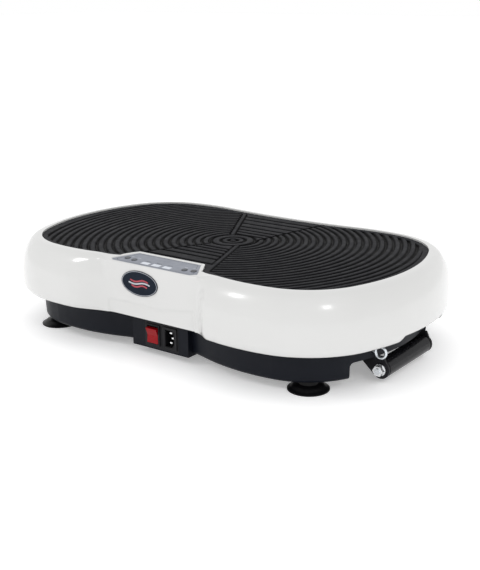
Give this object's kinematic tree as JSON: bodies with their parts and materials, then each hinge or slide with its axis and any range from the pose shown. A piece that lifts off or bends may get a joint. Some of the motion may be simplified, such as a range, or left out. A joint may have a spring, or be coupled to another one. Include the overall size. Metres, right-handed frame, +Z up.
{
  "type": "vibration plate",
  "caption": "Low hourglass platform with a ribbed rubber mat that rocks on a base, driven by a motor, belt and crank; suction feet, transport roller and eye bolts.",
  "frame": {"origin": "on the floor under the centre of the platform", "axes": "+X along the length to the transport roller, -Y the front with the control panel, +Z up"},
  "size_m": [0.6488, 0.398, 0.137],
  "materials": {
    "shell_white": "high gloss moulded ABS",
    "mat_rubber": "matt ribbed rubber",
    "deck_wood": "plain birch plywood",
    "frame_black": "black powder coat",
    "zinc": "zinc plated",
    "bronze": "sintered bronze",
    "panel_silver": "satin silver overlay",
    "window_clear": "clear display window",
    "button_dark": "dark soft-touch",
    "badge_navy": "domed navy badge",
    "board_green": "circuit board",
    "tray_black": "fine moulded texture",
    "black_plastic": "satin black",
    "switch_red": "translucent red",
    "foot_rubber": "soft black rubber",
    "buffer_rubber": "firm black rubber",
    "belt_rubber": "flat drive belt",
    "motor_steel": "drawn steel can",
    "bearing_iron": "cast pedestal",
    "bearing_steel": "ground steel",
    "pulley_alloy": "turned aluminium",
    "crank_steel": "machined steel",
    "roller_black": "smooth black plastic"
  },
  "bodies": {
    "platform": {"top_shell": "shell_white", "anti_slip_mat": "mat_rubber", "deck_board": "deck_wood", "platform_frame": "frame_black", "pivot_bushes": "bronze", "rod_pins": "zinc", "deck_screws": "zinc", "control_panel": "panel_silver", "display_windows": "window_clear", "control_board": "board_green", "front_badge": "badge_navy"},
    "power_button": {"power_button": "button_dark"},
    "mode_button": {"mode_button": "button_dark"},
    "slower_button": {"slower_button": "button_dark"},
    "faster_button": {"faster_button": "button_dark"},
    "base": {"base_tray": "tray_black", "base_frame": "frame_black", "pivot_pins": "zinc", "buffer_stands": "frame_black", "rubber_buffers": "buffer_rubber", "base_screws": "zinc", "suction_foot_front_left": "foot_rubber", "suction_foot_rear_left": "foot_rubber", "suction_foot_front_right": "foot_rubber", "suction_foot_rear_right": "foot_rubber", "foot_studs": "zinc", "power_plate": "black_plastic", "switch_housing": "black_plastic", "power_socket": "black_plastic", "socket_pins": "zinc", "motor_controller": "black_plastic", "motor_housing": "motor_steel", "motor_saddle": "bearing_iron", "front_bearing_block": "bearing_iron", "rear_bearing_block": "bearing_iron", "crank_bearings": "bearing_steel", "drive_belt": "belt_rubber", "roller_bracket": "frame_black", "roller_axle_bolt": "zinc", "axle_nut": "zinc", "axle_washers": "zinc", "bracket_screws": "zinc", "eye_bolt_right": "zinc", "eye_bolt_left": "zinc"},
    "rocker": {"rocker_button": "switch_red"},
    "crank": {"crankshaft": "crank_steel", "crank_pulley": "pulley_alloy"},
    "rods": {"lift_rod_front": "crank_steel", "lift_rod_rear": "crank_steel"},
    "motor_rotor": {"motor_shaft": "crank_steel", "motor_pulley": "pulley_alloy"},
    "roller": {"transport_roller": "roller_black"}
  },
  "joints": [
    {"name": "platform_rock", "type": "hinge", "parent": "base", "child": "platform", "pos_m": [0, 0, 0.074], "axis": [0, 1, 0], "range_deg": [-1.3, 1.3]},
    {"name": "crank_spin", "type": "hinge", "parent": "base", "child": "crank", "pos_m": [-0.11, 0, 0.058], "axis": [0, 1, 0], "continuous": true},
    {"name": "rod_swing", "type": "hinge", "parent": "crank", "child": "rods", "pos_m": [-0.1075, 0, 0.058], "axis": [0, 1, 0], "continuous": true},
    {"name": "motor_spin", "type": "hinge", "parent": "base", "child": "motor_rotor", "pos_m": [0.13, 0, 0.066], "axis": [0, 1, 0], "continuous": true},
    {"name": "roller_spin", "type": "hinge", "parent": "base", "child": "roller", "pos_m": [0.29, 0, 0.018], "axis": [0, 1, 0], "continuous": true},
    {"name": "switch_rock", "type": "hinge", "parent": "base", "child": "rocker", "pos_m": [-0.012, -0.153, 0.032], "axis": [1, 0, 0], "range_deg": [-16, 0]},
    {"name": "power_press", "type": "slide", "parent": "platform", "child": "power_button", "axis": [0, 0.0698, -0.9976], "range_m": [0, 0.0008], "stiffness_N_per_m": 600, "springref_m": -0.0015},
    {"name": "mode_press", "type": "slide", "parent": "platform", "child": "mode_button", "axis": [0, 0.0698, -0.9976], "range_m": [0, 0.0008], "stiffness_N_per_m": 600, "springref_m": -0.0015},
    {"name": "slower_press", "type": "slide", "parent": "platform", "child": "slower_button", "axis": [0, 0.0698, -0.9976], "range_m": [0, 0.0008], "stiffness_N_per_m": 600, "springref_m": -0.0015},
    {"name": "faster_press", "type": "slide", "parent": "platform", "child": "faster_button", "axis": [0, 0.0698, -0.9976], "range_m": [0, 0.0008], "stiffness_N_per_m": 600, "springref_m": -0.0015}
  ],
  "couplings": [
    {"joint": "rod_swing", "follows": "crank_spin", "ratio": -1},
    {"joint": "motor_spin", "follows": "crank_spin", "ratio": 2.5714}
  ]
}
